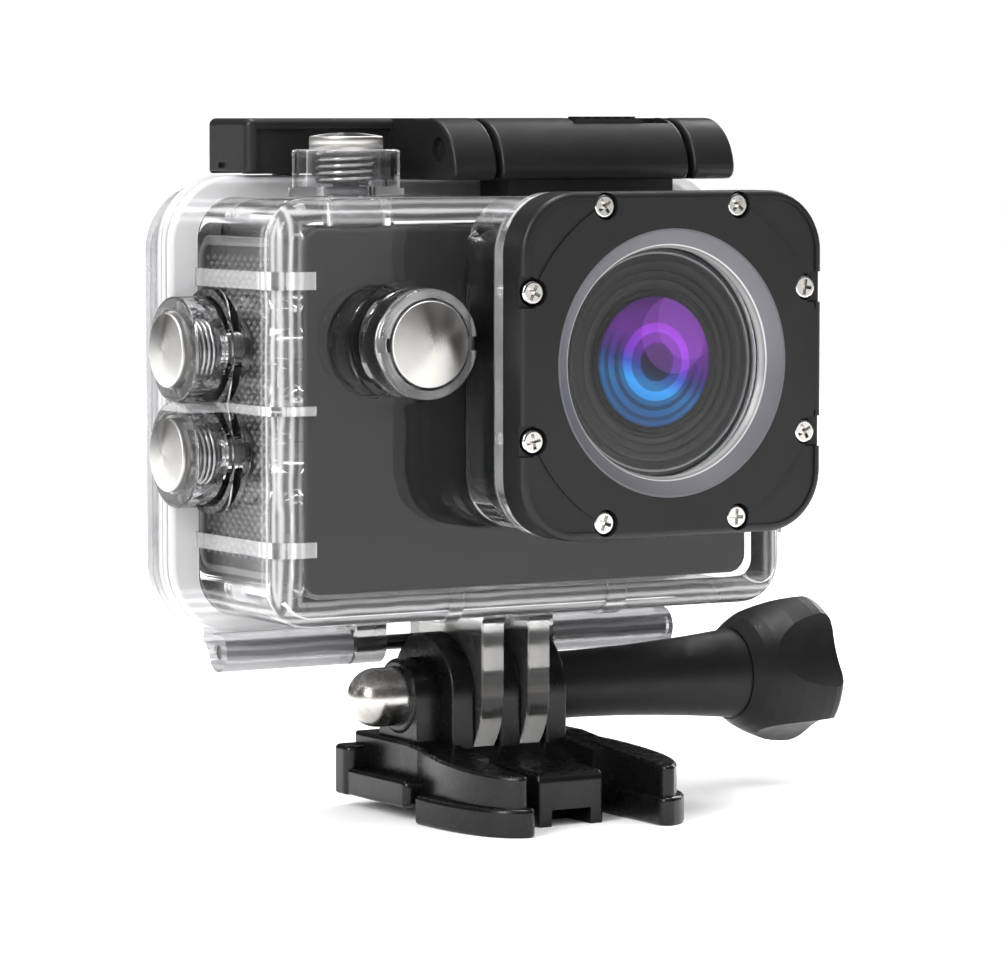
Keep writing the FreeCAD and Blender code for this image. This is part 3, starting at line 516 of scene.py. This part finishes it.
def lathe(profile, centre, axis, segments=96):
    """Turn a list of (radius, height) about an axis, closed at both ends where the radius is 0."""
    work = bmesh.new()
    turn = Vector((0, 0, 1)).rotation_difference(axis)
    rings = []
    for radius, height in profile:
        if radius == 0:
            rings.append([work.verts.new(centre + turn @ Vector((0, 0, height)))])
            continue
        ring = []
        for k in range(segments):
            angle = 2 * math.pi * k / segments
            spoke = Vector((radius * math.cos(angle), radius * math.sin(angle), height))
            ring.append(work.verts.new(centre + turn @ spoke))
        rings.append(ring)
    for a, b in zip(rings, rings[1:]):
        for k in range(segments):
            corners = [a[k % len(a)], a[(k + 1) % len(a)], b[(k + 1) % len(b)], b[k % len(b)]]
            work.faces.new(list(dict.fromkeys(corners))).smooth = True
    return work


def extents(node, axis):
    """Middle of a node's box, its radius across the axis and its length along it."""
    low_corner, high_corner = (Vector(corner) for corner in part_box(node))
    along = [abs(a) > 0.5 for a in axis].index(True)
    across = (along + 1) % 3
    size = high_corner - low_corner
    return (low_corner + high_corner) / 2, size[across] / 2, size[along]


def button_cap(node, axis, body):
    """Domed metal cap with a softly broken edge."""
    middle, radius, tall = extents(node, axis)
    dome = radius * 0.1
    edge = tall - dome
    bevel = 0.2 * MM
    profile = [(0, 0), (radius * 0.97, 0), (radius, 0.1 * MM), (radius, edge - bevel)]
    for k in range(1, 5):
        turn = math.pi / 2 * k / 4
        profile.append((radius - bevel * (1 - math.cos(turn)), edge - bevel * (1 - math.sin(turn))))
    steps = 14
    rim = radius - bevel
    for k in range(1, steps + 1):
        r = rim * (1 - k / steps)
        profile.append((r if k < steps else 0, edge + (dome - 0.02 * MM) * (1 - (r / rim) ** 2)))
    work = lathe(profile, middle - axis * tall / 2, axis)
    piece(node + "_turned", work, spun_steel("spun_" + node, middle, axis), body, node)


def coil_spring(node, axis, turns=4.5, wire=0.28 * MM, around=12, steps=40):
    """Round wire in a helix, in place of the spring node."""
    middle, radius, tall = extents(node, axis)
    foot = middle - axis * tall / 2
    turn = Vector((0, 0, 1)).rotation_difference(axis)
    work = bmesh.new()
    rings = []
    count = int(turns * steps)
    for k in range(count + 1):
        angle = 2 * math.pi * turns * k / count
        height = wire + (tall - 2 * wire) * k / count
        out = Vector((math.cos(angle), math.sin(angle), 0))
        hub = out * (radius - wire) + Vector((0, 0, height))
        ring = []
        for j in range(around):
            bend = 2 * math.pi * j / around
            offset = (out * math.cos(bend) + Vector((0, 0, 1)) * math.sin(bend)) * wire
            ring.append(work.verts.new(foot + turn @ (hub + offset)))
        rings.append(ring)
    for a, b in zip(rings, rings[1:]):
        for j in range(around):
            work.faces.new((a[j], a[(j + 1) % around], b[(j + 1) % around], b[j])).smooth = True
    work.faces.new(rings[0])
    work.faces.new(rings[-1])
    item = piece(node + "_coil", work, SPRING, "case", node)
    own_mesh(item)


for cap_name, axis in CAP_AXES.items():
    button = cap_name.replace("_cap", "")
    button_cap(cap_name, axis, button + "_button")
    coil_spring(button + "_spring", axis)


# ---- knurled side grips ----

KEY_HOLE = 3.5 * MM                                # the pad's openings for the two side keys


def outline(centre, half, radius, steps=8):
    """Points round a rounded rectangle in the (y, z) plane."""
    points = []
    for quarter, (sy, sz) in enumerate(((1, 1), (-1, 1), (-1, -1), (1, -1))):
        cy = centre[0] + sy * (half[0] - radius)
        cz = centre[1] + sz * (half[1] - radius)
        for k in range(steps + 1):
            turn = math.pi / 2 * (quarter + k / steps)
            points.append((cy + radius * math.cos(turn), cz + radius * math.sin(turn)))
    return points


def loft(work, rings):
    """Skin between loops of the same length, given as lists of (x, y, z)."""
    loops = [[work.verts.new(p) for p in ring] for ring in rings]
    count = len(loops[0])
    for a, b in zip(loops, loops[1:]):
        for k in range(count):
            work.faces.new((a[k], a[(k + 1) % count], b[(k + 1) % count], b[k]))
    return loops


def face_with_holes(work, border, holes):
    """Flat face inside a loop of vertices, with openings inside other loops."""
    flat = border + [vert for hole in holes for vert in hole]
    for corners in tessellate_polygon([[vert.co for vert in loop] for loop in [border] + holes]):
        work.faces.new([flat[k] for k in corners])


def knurl(work, x_low, x_top, centre, half, holes, pitch=(1.5 * MM, 1.3 * MM)):
    """Rows of closed diamond pyramids, every other row shifted by half a pitch."""
    rows = int(half[1] / pitch[1] * 2)
    columns = int(half[0] / pitch[0]) + 1
    for row in range(-rows, rows + 1):
        z = centre[1] + row * pitch[1] / 2
        for column in range(-columns, columns + 1):
            y = centre[0] + (column + 0.5 * (row % 2)) * pitch[0]
            if abs(y - centre[0]) > half[0] - pitch[0] / 2 or abs(z - centre[1]) > half[1] - pitch[1] / 2:
                continue
            if any(math.hypot(y - hy, z - hz) < KEY_HOLE + pitch[0] / 2 for hy, hz in holes):
                continue
            top = work.verts.new((x_top, y, z))
            foot = [work.verts.new((x_low, y + dy * pitch[0] / 2, z + dz * pitch[1] / 2))
                    for dy, dz in ((1, 0), (0, 1), (-1, 0), (0, -1))]
            for k in range(4):
                work.faces.new((foot[k], foot[(k + 1) % 4], top))
            work.faces.new(foot)


def grip(node, side, holes):
    """Rubber pad with a raised border round a sunken knurled field."""
    low_corner, high_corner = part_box(node)
    centre = ((low_corner[1] + high_corner[1]) / 2, (low_corner[2] + high_corner[2]) / 2)
    half = ((high_corner[1] - low_corner[1]) / 2, (high_corner[2] - low_corner[2]) / 2)
    face, back = (low_corner[0], high_corner[0]) if side < 0 else (high_corner[0], low_corner[0])
    field = face - side * GRIP_DEPTH
    border = 0.8 * MM
    levels = [(0.0, back), (0.0, face - side * 0.15 * MM), (0.15 * MM, face), (border, face),
              (border + 0.15 * MM, field)]
    work = bmesh.new()
    rings = []
    for inset, x in levels:
        shrunk = (half[0] - inset, half[1] - inset)
        rings.append([(x, y, z) for y, z in outline(centre, shrunk, 2.5 * MM - inset)])
    loops = loft(work, rings)
    openings = []
    for hole in holes:
        turns = [2 * math.pi * k / 48 for k in range(48)]
        circle = [(hole[0] + KEY_HOLE * math.cos(t), hole[1] + KEY_HOLE * math.sin(t)) for t in turns]
        openings.append(loft(work, [[(x, y, z) for y, z in circle] for x in (back, field)]))
    face_with_holes(work, loops[0], [pair[0] for pair in openings])
    face_with_holes(work, loops[-1], [pair[1] for pair in openings])
    inner = (half[0] - border - 0.2 * MM, half[1] - border - 0.2 * MM)
    knurl(work, field - side * 0.02 * MM, face, centre, inner, holes)
    piece(node + "_knurled", work, GRIP, "case", node)


KEY_SPOTS = []
for key_node in ("up_key", "down_key"):
    key_low, key_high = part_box(key_node)
    KEY_SPOTS.append(((key_low[1] + key_high[1]) / 2, (key_low[2] + key_high[2]) / 2))
grip("left_grip", -1, KEY_SPOTS)
grip("right_grip", 1, [])


# ---- stage, light and camera ----

def floor():
    """Pale ground, far wider than any view."""
    mesh = bpy.data.meshes.new("floor")
    work = bmesh.new()
    bmesh.ops.create_circle(work, cap_ends=True, segments=96, radius=FLOOR_RADIUS)
    work.to_mesh(mesh)
    work.free()
    item = bpy.data.objects.new("floor", mesh)
    bpy.context.scene.collection.objects.link(item)
    m = Nodes("pale_floor")
    tinted(m, (0.93, 0.93, 0.93), 0.01, 3)
    m.link(m.between(m.noise(8), 0.6, 0.75), m.bsdf.inputs["Roughness"])
    m.set(Specular_IOR_Level=0.2)
    mesh.materials.append(m.mat)


def softbox(name, place, aim, size, power):
    """Rectangular area light that faces its aim; places in metres, power in watts."""
    lamp = bpy.data.lights.new(name, "AREA")
    lamp.shape = "RECTANGLE"
    lamp.size, lamp.size_y = size
    lamp.energy = power
    item = bpy.data.objects.new(name, lamp)
    item.location = place
    item.rotation_euler = (Vector(aim) - Vector(place)).to_track_quat("-Z", "Y").to_euler()
    bpy.context.scene.collection.objects.link(item)


def studio():
    """White surround for what is seen directly or through the case, darker for what is reflected."""
    world = bpy.data.worlds.new("studio")
    world.use_nodes = True
    bpy.context.scene.world = world
    tree = world.node_tree
    tree.nodes.clear()
    rays = tree.nodes.new("ShaderNodeLightPath")
    place = tree.nodes.new("ShaderNodeTexCoord")
    split = tree.nodes.new("ShaderNodeSeparateXYZ")
    tree.links.new(place.outputs["Generated"], split.inputs[0])
    ramp = tree.nodes.new("ShaderNodeValToRGB")
    fill_ramp(ramp, greys([(0.0, 0.5), (0.47, 0.25), (0.56, 0.05), (0.78, 0.1), (0.93, 0.8)], 1.02))
    lift = tree.nodes.new("ShaderNodeMapRange")
    lift.inputs["From Min"].default_value = -1.0
    tree.links.new(split.outputs["Z"], lift.inputs["Value"])
    tree.links.new(lift.outputs[0], ramp.inputs[0])
    mix = tree.nodes.new("ShaderNodeMix")
    mix.data_type = "RGBA"
    mix.inputs["A"].default_value = (1.18, 1.18, 1.18, 1.0)
    mirror = tree.nodes.new("ShaderNodeMath")
    mirror.operation = "SUBTRACT"
    mirror.use_clamp = True
    tree.links.new(rays.outputs["Is Glossy Ray"], mirror.inputs[0])
    tree.links.new(rays.outputs["Is Transmission Ray"], mirror.inputs[1])
    tree.links.new(mirror.outputs[0], mix.inputs["Factor"])
    tree.links.new(ramp.outputs[0], mix.inputs["B"])
    back = tree.nodes.new("ShaderNodeBackground")
    back.inputs[1].default_value = 1.0
    tree.links.new(mix.outputs["Result"], back.inputs[0])
    out = tree.nodes.new("ShaderNodeOutputWorld")
    tree.links.new(back.outputs[0], out.inputs[0])
    aim = (0.0, 0.0, 0.045)
    softbox("key_left", (-0.62, -0.30, 0.42), aim, (0.22, 0.5), 5.0)
    softbox("top_box", (0.05, 0.0, 0.75), aim, (0.5, 0.22), 5.0)
    softbox("rear_right", (0.6, 0.35, 0.35), aim, (0.3, 0.5), 4.0)


def camera():
    """Long lens, 31 degrees round to the left of straight ahead and 4 degrees up."""
    turn, tilt, reach = math.radians(30.742), math.radians(4.229), 0.5644
    aim = Vector((-3.673, -11.3, 39.357)) * MM
    back = Vector((-math.sin(turn) * math.cos(tilt), -math.cos(turn) * math.cos(tilt), math.sin(tilt)))
    lens = bpy.data.cameras.new("camera")
    lens.sensor_width = 36.0
    lens.lens = 176.6
    lens.clip_start = 0.02
    item = bpy.data.objects.new("camera", lens)
    item.location = aim + back * reach
    item.rotation_euler = (-back).to_track_quat("-Z", "Y").to_euler()
    bpy.context.scene.collection.objects.link(item)
    bpy.context.scene.camera = item


floor()
studio()
camera()
bpy.context.scene.view_settings.view_transform = "Standard"
